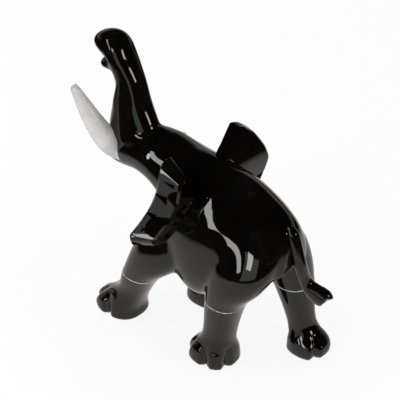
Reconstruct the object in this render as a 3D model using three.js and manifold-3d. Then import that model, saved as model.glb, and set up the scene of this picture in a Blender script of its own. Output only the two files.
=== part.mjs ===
// A walking elephant with its trunk raised, carved in polished black stone.
// Torso, head, trunk and upper legs are one carved block. The ears, tusks, eyes,
// tail and lower legs are pieces of their own, glued on.
// Millimetres, +Z up. The elephant faces -Y and its left side is +X.
// The origin is the middle of the footprint of its bounding box.

import * as THREE from 'three';
import { LoftGeometry } from 'three/addons/geometries/LoftGeometry.js';
import { mergeVertices } from 'three/addons/utils/BufferGeometryUtils.js';
import Module from 'manifold-3d';

const wasm = await Module();
wasm.setup();

// ---------------------------------------------------------------- driving sizes

const GLUE_GAP = 0.3; // clearance between two glued faces

const TORSO = {
	length: 60, // chest to rump
	width: 39,
	height: 53, // belly to back
	middle: 49, // height of its axis above the ground
	chest: 10, // how far the chest lies in front of the origin of the plan
	sag: 6, // how far its widest part hangs below its axis
};

const HEAD = {
	length: 34, // neck to snout
	width: 21,
	height: 20,
	crown: 77.5, // height of the forehead
	nape: 6, // how far in front of the origin of the plan the neck ends
	snoutWidth: 13,
	jawReach: 26, // how far the lower lip comes in front of the nape
};

const TRUNK = {
	top: 113, // height of the trunk's highest point
	reach: 42.5, // how far forward its tip comes
	rootDepth: 22,
	rootWidth: 14,
	neckDepth: 10.5, // at its thinnest
	neckWidth: 11.5,
	tipDepth: 12,
	fingerDepth: 5,
	mouthGape: 1,
};

const EAR = {
	bevel: 1,
	span: 33, // from its buried root to its outer tip
	crown: 0.6, // how far the back of the ear swells
	curl: 2, // how far the middle of the ear bows backwards
	height: 29,
	rootUp: 63, // height of the root's middle
	rootInset: 5, // distance of the buried root from the middle plane
	sweep: 1, // how far the tip stands behind the root
};
// The two ears were ground one at a time. Outlines are shares of the span and of the height,
// from the root's foot round the outer tip to the root's top.
const EAR_SETTING = {
	left: {
		thickness: 8,
		chamfer: 3.8, // how far the cut-away edge behind the ear reaches in
		back: 5.8, // how far its root lies behind the origin of the plan
		lean: -4, // how far its top stands in front of its foot
		outline: [
			[0, -0.3], [0.34, -0.42], [0.63, -0.5], [0.88, -0.36], [0.95, -0.2],
			[0.76, 0.12], [0.64, 0.38], [0.54, 0.68], [0.4, 0.76], [0.2, 0.5], [0, 0.3],
		],
	},
	right: {
		thickness: 4.2,
		chamfer: 1.2,
		back: 8.4,
		lean: 5,
		outline: [
			[0, -0.3], [0.3, -0.42], [0.62, -0.33], [0.74, -0.2], [0.81, 0],
			[0.75, 0.22], [0.6, 0.5], [0.48, 0.62], [0.36, 0.66], [0.15, 0.5], [0, 0.35],
		],
	},
};

const TUSK = {
	length: 32,
	thickness: 9,
	pegThickness: 6, // inside its socket
	rise: 26.5,
	spread: 9, // how far the tip stands out beyond the root
	socketDepth: 6,
};

const EYE = {
	diameter: 2.2,
	sink: 0.5,
	along: 0.345, // share of the head's length from the nape
	turn: 0.56, // how far it is turned up round the head, in radians
};

const TAIL = {
	width: 5,
	depth: 4.5,
	drop: 20, // from the end of the rump to the tuft
	lean: 5, // how far it swings to the right
	tuftLength: 8,
	tuftWidth: 6,
	tuftDepth: 8,
};

const LEG = {
	track: 26.5, // between the left and right feet
	ankleWidth: 13,
	footWidth: 18.5,
	footLength: 20,
	footHeight: 9,
	toeGap: 1.8, // half the width of a notch between two toes
	frontSeam: 22,
	rearSeam: 29,
};

// How far forward each sole, seam and thigh stands, the size of the foot as a share, and
// the angles of the notches between its toes, from straight ahead towards the left.
const STANCE = {
	front_left: { sole: 23.5, knee: 12.5, top: -1.5, foot: 1, toes: [-25, 30, 88] },
	front_right: { sole: 1.5, knee: 3, top: -1, foot: 0.9, toes: [25, -30, -85] },
	rear_left: { sole: -23.5, knee: -29, top: -37, foot: 0.97, toes: [-25, 35, 103, 160] },
	rear_right: { sole: -47.5, knee: -39.5, top: -31, foot: 0.82, toes: [25, -35, -90, 150] },
};

// ---------------------------------------------------------------- stone finishes

const blackStone = { color: 0x0b0908, roughness: 0.08, metalness: 0 };
const crystal = { color: 0xe6dfd8, roughness: 0.12, metalness: 0 };
const bead = { color: 0xc6c7c9, roughness: 0.1, metalness: 0 };

// ---------------------------------------------------------------- helpers

// A point given as forward, left and up.
function at(forward, left, up) {
	return new THREE.Vector3(left, -forward, up);
}

function toSolid(geometry) {
	const bare = new THREE.BufferGeometry().copy(geometry);
	bare.deleteAttribute('normal');
	bare.deleteAttribute('uv');
	const merged = mergeVertices(bare, 1e-4);
	return new wasm.Manifold(new wasm.Mesh({
		numProp: 3,
		vertProperties: Float32Array.from(merged.attributes.position.array),
		triVerts: Uint32Array.from(merged.index.array),
	}));
}

function toGeometry(solid) {
	const mesh = solid.getMesh();
	const geometry = new THREE.BufferGeometry();
	geometry.setAttribute('position', new THREE.BufferAttribute(Float32Array.from(mesh.vertProperties), 3));
	geometry.setIndex(new THREE.BufferAttribute(Uint32Array.from(mesh.triVerts), 1));
	geometry.computeVertexNormals();
	return geometry;
}

// A signed power, which turns a circle into a rounder or squarer oval.
function bent(value, power) {
	return Math.sign(value) * Math.abs(value) ** power;
}

// One cross-section of a carved form: forward, left, up, width, depth and squareness.
function station(forward, left, up, width, depth, square = 2) {
	return { middle: at(forward, left, up), girth: new THREE.Vector3(width / 2, depth / 2, square) };
}

// The smooth spine and the smoothly changing girth through a list of stations.
// sag lowers the widest part of each section.
function through(stations, facing, sag = 0) {
	const spine = new THREE.CatmullRomCurve3(stations.map((s) => s.middle), false, 'catmullrom', 0.5);
	const girth = new THREE.CatmullRomCurve3(stations.map((s) => s.girth), false, 'catmullrom', 0.5);
	return { spine, girth, facing, sag, spans: stations.length - 1 };
}

// A point on the skin of a form: share runs along it and angle runs round it,
// from its +X side. grow moves it outwards.
function skin(form, share, angle, grow = 0) {
	const middle = form.spine.getPoint(share);
	const girth = form.girth.getPoint(share);
	const along = form.facing ?? form.spine.getTangent(share);
	const side = new THREE.Vector3(1, 0, 0).addScaledVector(along, -along.x).normalize();
	const across = new THREE.Vector3().crossVectors(along, side);
	const power = 2 / girth.z;
	const point = middle
		.addScaledVector(side, (girth.x + grow) * bent(Math.cos(angle), power))
		.addScaledVector(across, (girth.y + grow) * bent(Math.sin(angle), power));
	point.z -= form.sag * Math.cos(angle) ** 2;
	return point;
}

// A form as a solid. Growing it also moves its two flat ends outwards.
function carve(form, { sides = 24, steps = 4, grow = 0 } = {}) {
	const count = form.spans * steps;
	const sections = [];
	for (let i = 0; i <= count; i++) {
		const share = i / count;
		const along = (form.facing ?? form.spine.getTangent(share)).clone();
		const push = along.multiplyScalar(grow * ((i === count) - (i === 0)));
		const section = [];
		for (let j = 0; j < sides; j++) {
			section.push(skin(form, share, j / sides * Math.PI * 2, grow).add(push));
		}
		sections.push(section);
	}
	return toSolid(new LoftGeometry(sections, { capStart: true, capEnd: true }));
}

function placed(geometry, matrix) {
	return toSolid(geometry.applyMatrix4(matrix));
}

// ---------------------------------------------------------------- the carved block

function torsoForm() {
	const { length, width, height, middle, chest, sag } = TORSO;
	const section = (share, wide, tall, lift, square) => station(
		chest - share * length, 0, middle + lift, wide * width, tall * height, square);
	return through([
		section(0, 0.42, 0.42, 5, 2),
		section(0.07, 0.62, 0.7, 5, 2.1),
		section(0.22, 0.88, 0.96, 3.5, 2.2),
		section(0.42, 1, 1, 0, 2.3),
		section(0.66, 0.92, 0.78, 3, 2.3),
		section(0.85, 0.74, 0.52, 5.5, 2.2),
		section(0.96, 0.52, 0.36, 5, 2.1),
		section(1, 0.3, 0.2, 4, 2),
	], new THREE.Vector3(0, 1, 0), sag);
}

function headForm() {
	const { length, width, height, crown, nape, snoutWidth } = HEAD;
	const section = (share, wide, tall, drop) => station(
		nape + share * length, 0, crown - drop - tall / 2, wide, tall, 2.4);
	return through([
		section(-0.35, width * 1.4, height * 1.6, 2),
		section(-0.1, width * 1.25, height * 1.25, 0.5),
		section(0.15, width * 1.12, height * 0.95, 0),
		section(0.4, width, height * 0.82, 0.5),
		section(0.65, width * 0.85, height * 0.74, 3.5),
		section(0.85, snoutWidth, height * 0.56, 8),
		section(0.97, snoutWidth * 0.6, height * 0.34, 11.5),
	], new THREE.Vector3(0, -1, 0));
}

function trunkForm() {
	const { top, reach, rootDepth, rootWidth, neckDepth, neckWidth, tipDepth } = TRUNK;
	const root = HEAD.crown;
	const rise = top - root;
	return through([
		station(reach - 16, 0, root - 12, rootWidth * 1.1, rootDepth * 1.1, 2.3),
		station(reach - 15, 0, root - 2, rootWidth, rootDepth, 2.3),
		station(reach - 14, 0, root + rise * 0.2, (rootWidth + neckWidth) / 2, (rootDepth + neckDepth) / 2, 2.3),
		station(reach - 13.2, 0, root + rise * 0.48, neckWidth * 0.92, neckDepth, 2.8),
		station(reach - 9.3, 0, root + rise * 0.72, neckWidth * 1.04, tipDepth * 0.74, 2.8),
		station(reach - 6, 0, top - tipDepth * 0.48, neckWidth * 1.02, tipDepth * 0.86, 2.6),
		station(reach - 1.5, 0, top - tipDepth * 0.56, neckWidth * 0.88, tipDepth * 0.85, 2.4),
		station(reach, 0, top - tipDepth * 0.7, neckWidth * 0.6, tipDepth * 0.6, 2.2),
	], null);
}

// The lower finger of the trunk's tip, which leaves the mouth of the trunk open above it.
function fingerForm() {
	const { top, reach, neckWidth, fingerDepth, mouthGape } = TRUNK;
	const under = top - TRUNK.tipDepth - mouthGape;
	return through([
		station(reach - 13, 0, under - 0.5, neckWidth * 0.8, fingerDepth * 1.2, 2.2),
		station(reach - 6, 0, under - 0.5, neckWidth * 0.8, fingerDepth, 2.2),
		station(reach - 2, 0, under - 1, neckWidth * 0.7, fingerDepth, 2.2),
		station(reach - 0.5, 0, under - 1, neckWidth * 0.5, fingerDepth * 0.6, 2.2),
	], null);
}

function jawForm() {
	const under = HEAD.crown - HEAD.height;
	const { nape, jawReach } = HEAD;
	return through([
		station(nape + jawReach * 0.3, 0, under + 5, 9, 8, 2.2),
		station(nape + jawReach * 0.6, 0, under + 3.2, 7, 5.5, 2.2),
		station(nape + jawReach * 0.85, 0, under + 1.5, 5.5, 4, 2.2),
		station(nape + jawReach, 0, under, 3, 2.6, 2),
	], new THREE.Vector3(0, -1, 0));
}

function seamOf(name) {
	return name.startsWith('front') ? LEG.frontSeam : LEG.rearSeam;
}

function leftOf(name) {
	return (name.endsWith('left') ? 1 : -1) * LEG.track / 2;
}

function legForm(name) {
	const { ankleWidth, footWidth, footLength, footHeight } = LEG;
	const { sole, knee, top, foot } = STANCE[name];
	const left = leftOf(name);
	const seam = seamOf(name);
	const ankle = footHeight * 1.4;
	const ankleForward = sole + (knee - sole) * ankle / seam;
	return through([
		station(top, left * 0.5, seam + 32, ankleWidth * 1.1, ankleWidth * 1.5, 2.2),
		station(top * 0.85 + knee * 0.15, left * 0.74, seam + 20, ankleWidth * 1.45, ankleWidth * 2, 2.2),
		station((top + knee) / 2, left * 0.92, seam + 10, ankleWidth * 1.38, ankleWidth * 1.75, 2.3),
		station(knee, left, seam, ankleWidth * 1.15, ankleWidth * 1.2, 2.3),
		station(ankleForward, left, ankle, ankleWidth * foot, ankleWidth * foot, 2.3),
		station(sole, left, footHeight * 0.55, footWidth * foot * 0.96, footLength * foot * 0.96, 2.4),
		station(sole, left, 0, footWidth * foot, footLength * foot, 2.4),
	], new THREE.Vector3(0, 0, -1));
}

// Everything above a height, as a block larger than the sculpture.
function above(height) {
	const size = TRUNK.top * 2;
	const block = new THREE.BoxGeometry(size, size, size);
	return placed(block, new THREE.Matrix4().makeTranslation(0, 0, height + size / 2));
}

const LEGS = Object.keys(STANCE);

function block(grow) {
	let solid = carve(torsoForm(), { sides: 32, grow });
	solid = solid.add(carve(headForm(), { sides: 28, grow }));
	solid = solid.add(carve(trunkForm(), { sides: 24, grow }));
	solid = solid.add(carve(fingerForm(), { sides: 20, grow }));
	solid = solid.add(carve(jawForm(), { sides: 20, grow }));
	for (const name of LEGS) {
		const upper = carve(legForm(name), { sides: 24, grow });
		solid = solid.add(upper.intersect(above(seamOf(name) + GLUE_GAP / 2 - grow)));
	}
	return solid;
}

const grownBlock = block(GLUE_GAP);
const grownTorso = carve(torsoForm(), { sides: 32, grow: GLUE_GAP });

// ---------------------------------------------------------------- glued pieces

// A notch between two toes, as an upright wedge on the foot's outline.
function toeNotch(name, degrees) {
	const { footWidth, footLength, footHeight, toeGap } = LEG;
	const { sole, foot } = STANCE[name];
	const angle = THREE.MathUtils.degToRad(degrees);
	const wedge = new THREE.CylinderGeometry(toeGap * 0.4, toeGap, footHeight, 4).rotateX(Math.PI / 2);
	const middle = at(
		sole + Math.cos(angle) * footLength * foot / 2,
		leftOf(name) + Math.sin(angle) * footWidth * foot / 2,
		footHeight * 0.4);
	return placed(wedge, new THREE.Matrix4().makeRotationZ(angle).setPosition(middle));
}

function lowerLeg(name) {
	let solid = carve(legForm(name), { sides: 24 });
	solid = solid.subtract(above(seamOf(name) - GLUE_GAP / 2)).subtract(grownTorso);
	for (const degrees of STANCE[name].toes) {
		solid = solid.subtract(toeNotch(name, degrees));
	}
	return solid;
}

function ear(sign) {
	const { bevel, span, height, crown, rootUp, rootInset } = EAR;
	const { thickness, chamfer, back, lean, outline } = sign > 0 ? EAR_SETTING.left : EAR_SETTING.right;
	const marks = outline.map(([out, up]) => new THREE.Vector3(out * span, up * height, 0));
	const edge = new THREE.CatmullRomCurve3(marks, true, 'catmullrom', 0.25);
	const swell = new THREE.Vector3(span * 0.42, height * 0.06, 0);
	const bow = (point) => EAR.curl * Math.max(0, 1 - ((point.y / height - 0.25) / 0.42) ** 2);
	const rim = (inset, lift) => edge.getPoints(40).slice(0, -1).map((point) => {
		const inward = swell.clone().sub(point);
		const reach = Math.min(inset, inward.length() * 0.6);
		const moved = point.clone().addScaledVector(inward.normalize(), reach);
		return moved.setZ(lift - bow(moved));
	});
	const slab = new LoftGeometry([
		rim(chamfer * 1.6, -thickness / 2 - crown),
		rim(chamfer, -thickness / 2),
		rim(0, thickness / 2 - bevel),
		rim(bevel, thickness / 2),
	], { capStart: true, capEnd: true });
	const outward = at(-EAR.sweep, span, 0).normalize();
	const upward = at(lean, 0, height).normalize();
	const facing = new THREE.Vector3().crossVectors(outward, upward).normalize();
	const level = new THREE.Vector3().crossVectors(facing, outward);
	const turn = new THREE.Matrix4().makeBasis(outward, level, facing);
	turn.setPosition(at(-back, rootInset, rootUp));
	const mirror = new THREE.Matrix4().makeScale(sign, 1, 1);
	const geometry = slab.applyMatrix4(turn).applyMatrix4(mirror);
	if (sign < 0) {
		geometry.setIndex(Array.from(geometry.index.array).reverse());
	}
	return toSolid(geometry).subtract(grownBlock);
}

function tuskForm(sign) {
	const { length, thickness, pegThickness, rise, spread, socketDepth } = TUSK;
	const root = {
		forward: HEAD.nape + HEAD.length * 0.7,
		left: thickness / 2 + GLUE_GAP * 2,
		up: HEAD.crown - HEAD.height * 0.6,
	};
	const run = Math.sqrt(Math.max(length ** 2 - rise ** 2 - spread ** 2, 1));
	const piece = (along, out, up, size) => station(
		root.forward + along, sign * (root.left + out), root.up + up, size, size, 2);
	return through([
		piece(-socketDepth, 0, -0.5, pegThickness),
		piece(0, 0, 0, (pegThickness + thickness) / 2),
		piece(run * 0.32, spread * 0.22, rise * 0.13, thickness),
		piece(run * 0.66, spread * 0.55, rise * 0.47, thickness * 0.82),
		piece(run * 0.95, spread * 0.93, rise * 0.93, thickness * 0.42),
		piece(run, spread, rise, thickness * 0.25),
	], null);
}

function eyePlace(sign) {
	const angle = sign > 0 ? EYE.turn : Math.PI - EYE.turn;
	return skin(headForm(), EYE.along, angle, -EYE.sink);
}

function eyeBall(sign, grow) {
	const ball = new THREE.SphereGeometry(EYE.diameter / 2 + grow, 20, 14);
	const centre = eyePlace(sign);
	return placed(ball, new THREE.Matrix4().makeTranslation(centre.x, centre.y, centre.z));
}

function tailForm() {
	const { width, depth, drop, lean, tuftLength, tuftWidth, tuftDepth } = TAIL;
	const torso = torsoForm();
	const onRump = (share, out) => {
		const point = skin(torso, share, -Math.PI / 2, out);
		return [-point.y, 0, point.z];
	};
	const [end, , endUp] = onRump(1, 0);
	return through([
		station(...onRump(0.84, -0.5), width * 0.5, depth * 0.5),
		station(...onRump(0.9, 0.4), width * 0.8, depth * 0.8),
		station(...onRump(0.97, 0.6), width, depth),
		station(end - 2, -lean * 0.2, endUp - drop * 0.45, width, depth),
		station(end - 3, -lean * 0.7, endUp - drop * 0.9, width, depth),
		station(end - 3 - tuftLength * 0.4, -lean, endUp - drop - 2.5, tuftWidth, tuftDepth),
		station(end - 3 - tuftLength * 0.9, -lean * 1.2, endUp - drop - 4, tuftWidth, tuftDepth * 0.9),
		station(end - 3 - tuftLength, -lean * 1.2, endUp - drop - 4.5, tuftWidth * 0.6, tuftDepth * 0.5),
	], null);
}

// ---------------------------------------------------------------- assembly

function sculpture() {
	let body = block(0);
	const pieces = [];
	for (const [side, sign] of [['left', 1], ['right', -1]]) {
		body = body.subtract(carve(tuskForm(sign), { sides: 16, grow: GLUE_GAP }));
		body = body.subtract(eyeBall(sign, GLUE_GAP));
		pieces.push([`ear_${side}`, ear(sign), blackStone]);
		pieces.push([`tusk_${side}`, carve(tuskForm(sign), { sides: 16 }), crystal]);
		pieces.push([`eye_${side}`, eyeBall(sign, 0), bead]);
	}
	for (const name of LEGS) {
		pieces.push([`lower_leg_${name}`, lowerLeg(name), blackStone]);
	}
	pieces.push(['tail', carve(tailForm(), { sides: 16 }).subtract(grownBlock), blackStone]);
	pieces.unshift(['body', body, blackStone]);
	return pieces;
}

const elephant = new THREE.Group();
for (const [name, solid, finish] of sculpture()) {
	const mesh = new THREE.Mesh(toGeometry(solid), new THREE.MeshStandardMaterial(finish));
	mesh.name = name;
	elephant.add(mesh);
}

const extent = new THREE.Box3().setFromObject(elephant);
const footprint = extent.getCenter(new THREE.Vector3());
elephant.position.set(-footprint.x, -footprint.y, -extent.min.z);

export default elephant;
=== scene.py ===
"""Looks of a walking elephant carved in polished black stone, its trunk raised.

Torso, head, trunk and upper legs are one carved block. The ears, tusks, eyes, tail and
lower legs are pieces of their own, glued on. The carved forms are lofted in millimetres,
melted together as a carver blends them, cut for their seams and sockets, and polished.
"""

import logging
import math
from dataclasses import dataclass, field
from enum import Enum
from typing import Optional, Sequence

import bpy
import numpy as np
from mathutils import Matrix, Quaternion, Vector


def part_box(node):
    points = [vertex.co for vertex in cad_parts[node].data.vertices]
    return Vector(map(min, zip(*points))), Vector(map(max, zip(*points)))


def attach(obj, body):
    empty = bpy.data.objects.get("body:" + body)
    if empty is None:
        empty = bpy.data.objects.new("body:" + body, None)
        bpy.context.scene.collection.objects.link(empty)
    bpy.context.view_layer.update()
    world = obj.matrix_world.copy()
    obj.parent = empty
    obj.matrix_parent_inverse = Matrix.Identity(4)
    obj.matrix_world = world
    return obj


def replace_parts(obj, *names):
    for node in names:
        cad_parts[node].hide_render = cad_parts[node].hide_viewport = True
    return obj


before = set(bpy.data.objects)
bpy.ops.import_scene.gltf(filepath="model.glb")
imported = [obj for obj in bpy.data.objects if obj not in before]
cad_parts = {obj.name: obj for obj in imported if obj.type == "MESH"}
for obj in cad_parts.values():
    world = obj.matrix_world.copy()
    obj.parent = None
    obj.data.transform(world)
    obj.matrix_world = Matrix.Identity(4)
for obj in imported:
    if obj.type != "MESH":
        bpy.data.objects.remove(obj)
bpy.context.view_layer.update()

log = logging.getLogger("stone_elephant")

MM = 0.001
GLUE_GAP = 0.3
SETTLE_ROUNDS = 4
EVEN_ROUNDS = 320
CREASE_GAIN = 22
CREASE_FLOOR = 0.15
CREASE_SPREAD = 1.02
CREASE_REACH = 1.6
BLEND_EDGE = 1.8
LIGHT_STEP = 0.5
FIRM_STEP = 0.6
SAMPLES = 800
UP = np.array([0.0, 0.0, 1.0])
DOWN = np.array([0.0, 0.0, -1.0])
FORWARD = np.array([0.0, -1.0, 0.0])
BACKWARD = np.array([0.0, 1.0, 0.0])


class Side(Enum):
    """The elephant's own left and right; the value is the sign of X."""

    LEFT = 1
    RIGHT = -1

    @property
    def word(self) -> str:
        """The side's name in lower case."""
        return self.name.lower()


class Polish(Enum):
    """How far a piece is polished; the value is its mean roughness."""

    MIRROR = 0.035
    BRIGHT = 0.09
    GROUND = 0.45


# ------------------------------------------------------------------ carved forms


@dataclass(frozen=True)
class Station:
    """One cross-section of a carved form, in millimetres.

    The place is given as forward, left and up; square is 2 for an oval and more for a
    squarer section.
    """

    forward: float
    left: float
    up: float
    width: float
    depth: float
    square: float = 2.0


class Form:
    """A smooth skin through a list of stations."""

    def __init__(self, stations: Sequence[Station], facing: Optional[np.ndarray] = None,
                 sag: float = 0.0) -> None:
        """Keeps the spine and the girths.

        Args:
            stations: The cross-sections, from one end to the other.
            facing: The direction that every section faces, or None to follow the spine.
            sag: How far the widest part of each section hangs below its middle.
        """
        self.middles = np.array([[s.left, -s.forward, s.up] for s in stations], float)
        self.girths = np.array([[s.width / 2, s.depth / 2, s.square] for s in stations], float)
        self.facing = facing
        self.sag = sag

    @staticmethod
    def through(points: np.ndarray, shares: np.ndarray) -> np.ndarray:
        """Runs a smooth curve through points.

        Args:
            points: The points, one a row.
            shares: Places along the curve, from 0 to 1.

        Returns:
            One row for each share.
        """
        spans = len(points) - 1
        ends = (2 * points[:1] - points[1:2], points, 2 * points[-1:] - points[-2:-1])
        run = np.vstack(ends)
        place = np.clip(shares, 0, 1) * spans
        first = np.minimum(place.astype(int), spans - 1)
        t = (place - first)[..., None]
        p0, p1, p2, p3 = (run[first + k] for k in range(4))
        bend = 2 * p0 - 5 * p1 + 4 * p2 - p3
        twist = -p0 + 3 * p1 - 3 * p2 + p3
        return 0.5 * (2 * p1 + (p2 - p0) * t + bend * t**2 + twist * t**3)

    def skin(self, shares: np.ndarray, angles: np.ndarray, grow: float = 0.0) -> np.ndarray:
        """Finds points on the skin.

        Args:
            shares: Places along the form, from 0 to 1.
            angles: Angles round it, from its +X side, in radians.
            grow: How far outside the skin the points lie.

        Returns:
            The points in millimetres, one a row.
        """
        shares = np.asarray(shares, float)
        angles = np.asarray(angles, float)
        middle = self.through(self.middles, shares)
        girth = self.through(self.girths, shares)
        if self.facing is None:
            step = 1e-4
            along = self.through(self.middles, shares + step) - self.through(self.middles, shares - step)
            along /= np.linalg.norm(along, axis=-1, keepdims=True)
        else:
            along = np.broadcast_to(self.facing, middle.shape)
        side = np.array([1.0, 0.0, 0.0]) - along * along[..., :1]
        side /= np.linalg.norm(side, axis=-1, keepdims=True)
        across = np.cross(along, side)
        power = 2 / girth[..., 2]
        wide = (girth[..., 0] + grow) * np.sign(np.cos(angles)) * np.abs(np.cos(angles)) ** power
        tall = (girth[..., 1] + grow) * np.sign(np.sin(angles)) * np.abs(np.sin(angles)) ** power
        points = middle + side * wide[..., None] + across * tall[..., None]
        points[..., 2] -= self.sag * np.cos(angles) ** 2
        return points

    def shell(self, rings: int, sides: int, grow: float = 0.0) -> "Shell":
        """Makes the form's closed surface.

        Args:
            rings: Number of sections along it.
            sides: Number of points round it.
            grow: How far outside the skin the surface lies.

        Returns:
            The surface.
        """
        shares, angles = np.meshgrid(
            np.linspace(0, 1, rings), np.arange(sides) / sides * math.tau, indexing="ij")
        grid = self.skin(shares, angles, grow)
        if grow:
            for end, inner in ((0, 1), (-1, -2)):
                out = grid[end].mean(axis=0) - grid[inner].mean(axis=0)
                grid[end] += out / np.linalg.norm(out) * grow
        return Shell.rings(grid)


@dataclass
class Shell:
    """Corners and faces of a closed surface, in millimetres."""

    corners: np.ndarray
    faces: list

    @classmethod
    def rings(cls, grid: np.ndarray) -> "Shell":
        """Joins rings of points into a closed surface with flat ends.

        Args:
            grid: The rings' points, as rings by sides by 3.

        Returns:
            The surface.
        """
        rings, sides = grid.shape[:2]
        faces = []
        for i in range(rings - 1):
            for j in range(sides):
                a = i * sides + j
                b = i * sides + (j + 1) % sides
                faces.append((a, b, b + sides, a + sides))
        faces.append(tuple(range(sides - 1, -1, -1)))
        faces.append(tuple((rings - 1) * sides + j for j in range(sides)))
        return cls(grid.reshape(-1, 3), faces)

    def joined(self, other: "Shell") -> "Shell":
        """Puts another surface beside this one.

        Args:
            other: The surface to add.

        Returns:
            Both, as one list of faces.
        """
        start = len(self.corners)
        moved = [tuple(c + start for c in f) for f in other.faces]
        return Shell(np.vstack([self.corners, other.corners]), self.faces + moved)


# ------------------------------------------------------------------ sizes


@dataclass(frozen=True)
class TorsoSizes:
    """Sizes of the torso, in millimetres."""

    length: float = 60
    width: float = 39
    height: float = 53
    middle: float = 49
    chest: float = 10
    sag: float = 6

    def form(self) -> Form:
        """The torso's form, from chest to rump.

        Returns:
            The form.
        """
        table = (
            (0, 0.42, 0.42, 5, 2),
            (0.07, 0.62, 0.7, 5, 2.1),
            (0.22, 0.88, 0.96, 3.5, 2.2),
            (0.42, 1, 1, 0, 2.3),
            (0.66, 0.92, 0.78, 3, 2.3),
            (0.85, 0.74, 0.52, 5.5, 2.2),
            (0.96, 0.52, 0.36, 5, 2.1),
            (1, 0.3, 0.2, 4, 2),
        )
        return Form([
            Station(self.chest - share * self.length, 0, self.middle + lift,
                    wide * self.width, tall * self.height, square)
            for share, wide, tall, lift, square in table
        ], BACKWARD, self.sag)


@dataclass(frozen=True)
class HeadSizes:
    """Sizes of the head and lower jaw, in millimetres."""

    length: float = 34
    width: float = 21
    height: float = 20
    crown: float = 77.5
    nape: float = 6
    snout_width: float = 13
    jaw_reach: float = 26

    def form(self) -> Form:
        """The head's form, from neck to snout.

        Returns:
            The form.
        """
        table = (
            (-0.35, self.width * 1.4, self.height * 1.6, 2),
            (-0.1, self.width * 1.25, self.height * 1.25, 0.5),
            (0.15, self.width * 1.12, self.height * 0.95, 0),
            (0.4, self.width, self.height * 0.82, 0.5),
            (0.65, self.width * 0.85, self.height * 0.74, 3.5),
            (0.85, self.snout_width, self.height * 0.56, 8),
            (0.97, self.snout_width * 0.6, self.height * 0.34, 11.5),
        )
        return Form([
            Station(self.nape + share * self.length, 0, self.crown - drop - tall / 2, wide, tall, 2.4)
            for share, wide, tall, drop in table
        ], FORWARD)

    def jaw(self) -> Form:
        """The lower jaw's form, from throat to lip.

        Returns:
            The form.
        """
        under = self.crown - self.height
        return Form([
            Station(self.nape + self.jaw_reach * 0.3, 0, under + 5, 9, 8, 2.2),
            Station(self.nape + self.jaw_reach * 0.6, 0, under + 3.2, 7, 5.5, 2.2),
            Station(self.nape + self.jaw_reach * 0.85, 0, under + 1.5, 5.5, 4, 2.2),
            Station(self.nape + self.jaw_reach, 0, under, 3, 2.6, 2),
        ], FORWARD)


@dataclass(frozen=True)
class TrunkSizes:
    """Sizes of the raised trunk, in millimetres."""

    top: float = 113
    reach: float = 42.5
    root_depth: float = 22
    root_width: float = 14
    neck_depth: float = 10.5
    neck_width: float = 11.5
    tip_depth: float = 12
    finger_depth: float = 5
    mouth_gape: float = 1

    def form(self, root: float) -> Form:
        """The trunk's form, from the brow to its upper lip.

        Args:
            root: Height of the brow.

        Returns:
            The form.
        """
        rise = self.top - root
        half_width = (self.root_width + self.neck_width) / 2
        half_depth = (self.root_depth + self.neck_depth) / 2
        table = (
            (16, root - 12, self.root_width * 1.1, self.root_depth * 1.1, 2.3),
            (15, root - 2, self.root_width, self.root_depth, 2.3),
            (14, root + rise * 0.2, half_width, half_depth, 2.3),
            (13.2, root + rise * 0.48, self.neck_width * 0.92, self.neck_depth, 2.8),
            (9.3, root + rise * 0.72, self.neck_width * 1.04, self.tip_depth * 0.74, 2.8),
            (6, self.top - self.tip_depth * 0.48, self.neck_width * 1.02, self.tip_depth * 0.86, 2.6),
            (1.5, self.top - self.tip_depth * 0.56, self.neck_width * 0.88, self.tip_depth * 0.85, 2.4),
            (0, self.top - self.tip_depth * 0.7, self.neck_width * 0.6, self.tip_depth * 0.6, 2.2),
        )
        return Form([Station(self.reach - back, 0, up, wide, deep, square)
                     for back, up, wide, deep, square in table])

    def finger(self) -> Form:
        """The lower finger of the trunk's tip.

        Returns:
            The form.
        """
        under = self.top - self.tip_depth - self.mouth_gape
        table = (
            (13, -0.5, 0.8, 1.2), (6, -0.5, 0.8, 1), (2, -1, 0.7, 1), (0.5, -1, 0.5, 0.6))
        return Form([Station(self.reach - back, 0, under + lift, self.neck_width * wide,
                             self.finger_depth * deep, 2.2)
                     for back, lift, wide, deep in table])


@dataclass(frozen=True)
class LegSizes:
    """Sizes that the four legs share, in millimetres."""

    track: float = 26.5
    ankle_width: float = 13
    foot_width: float = 18.5
    foot_length: float = 20
    foot_height: float = 9
    front_seam: float = 22
    rear_seam: float = 29


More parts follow.
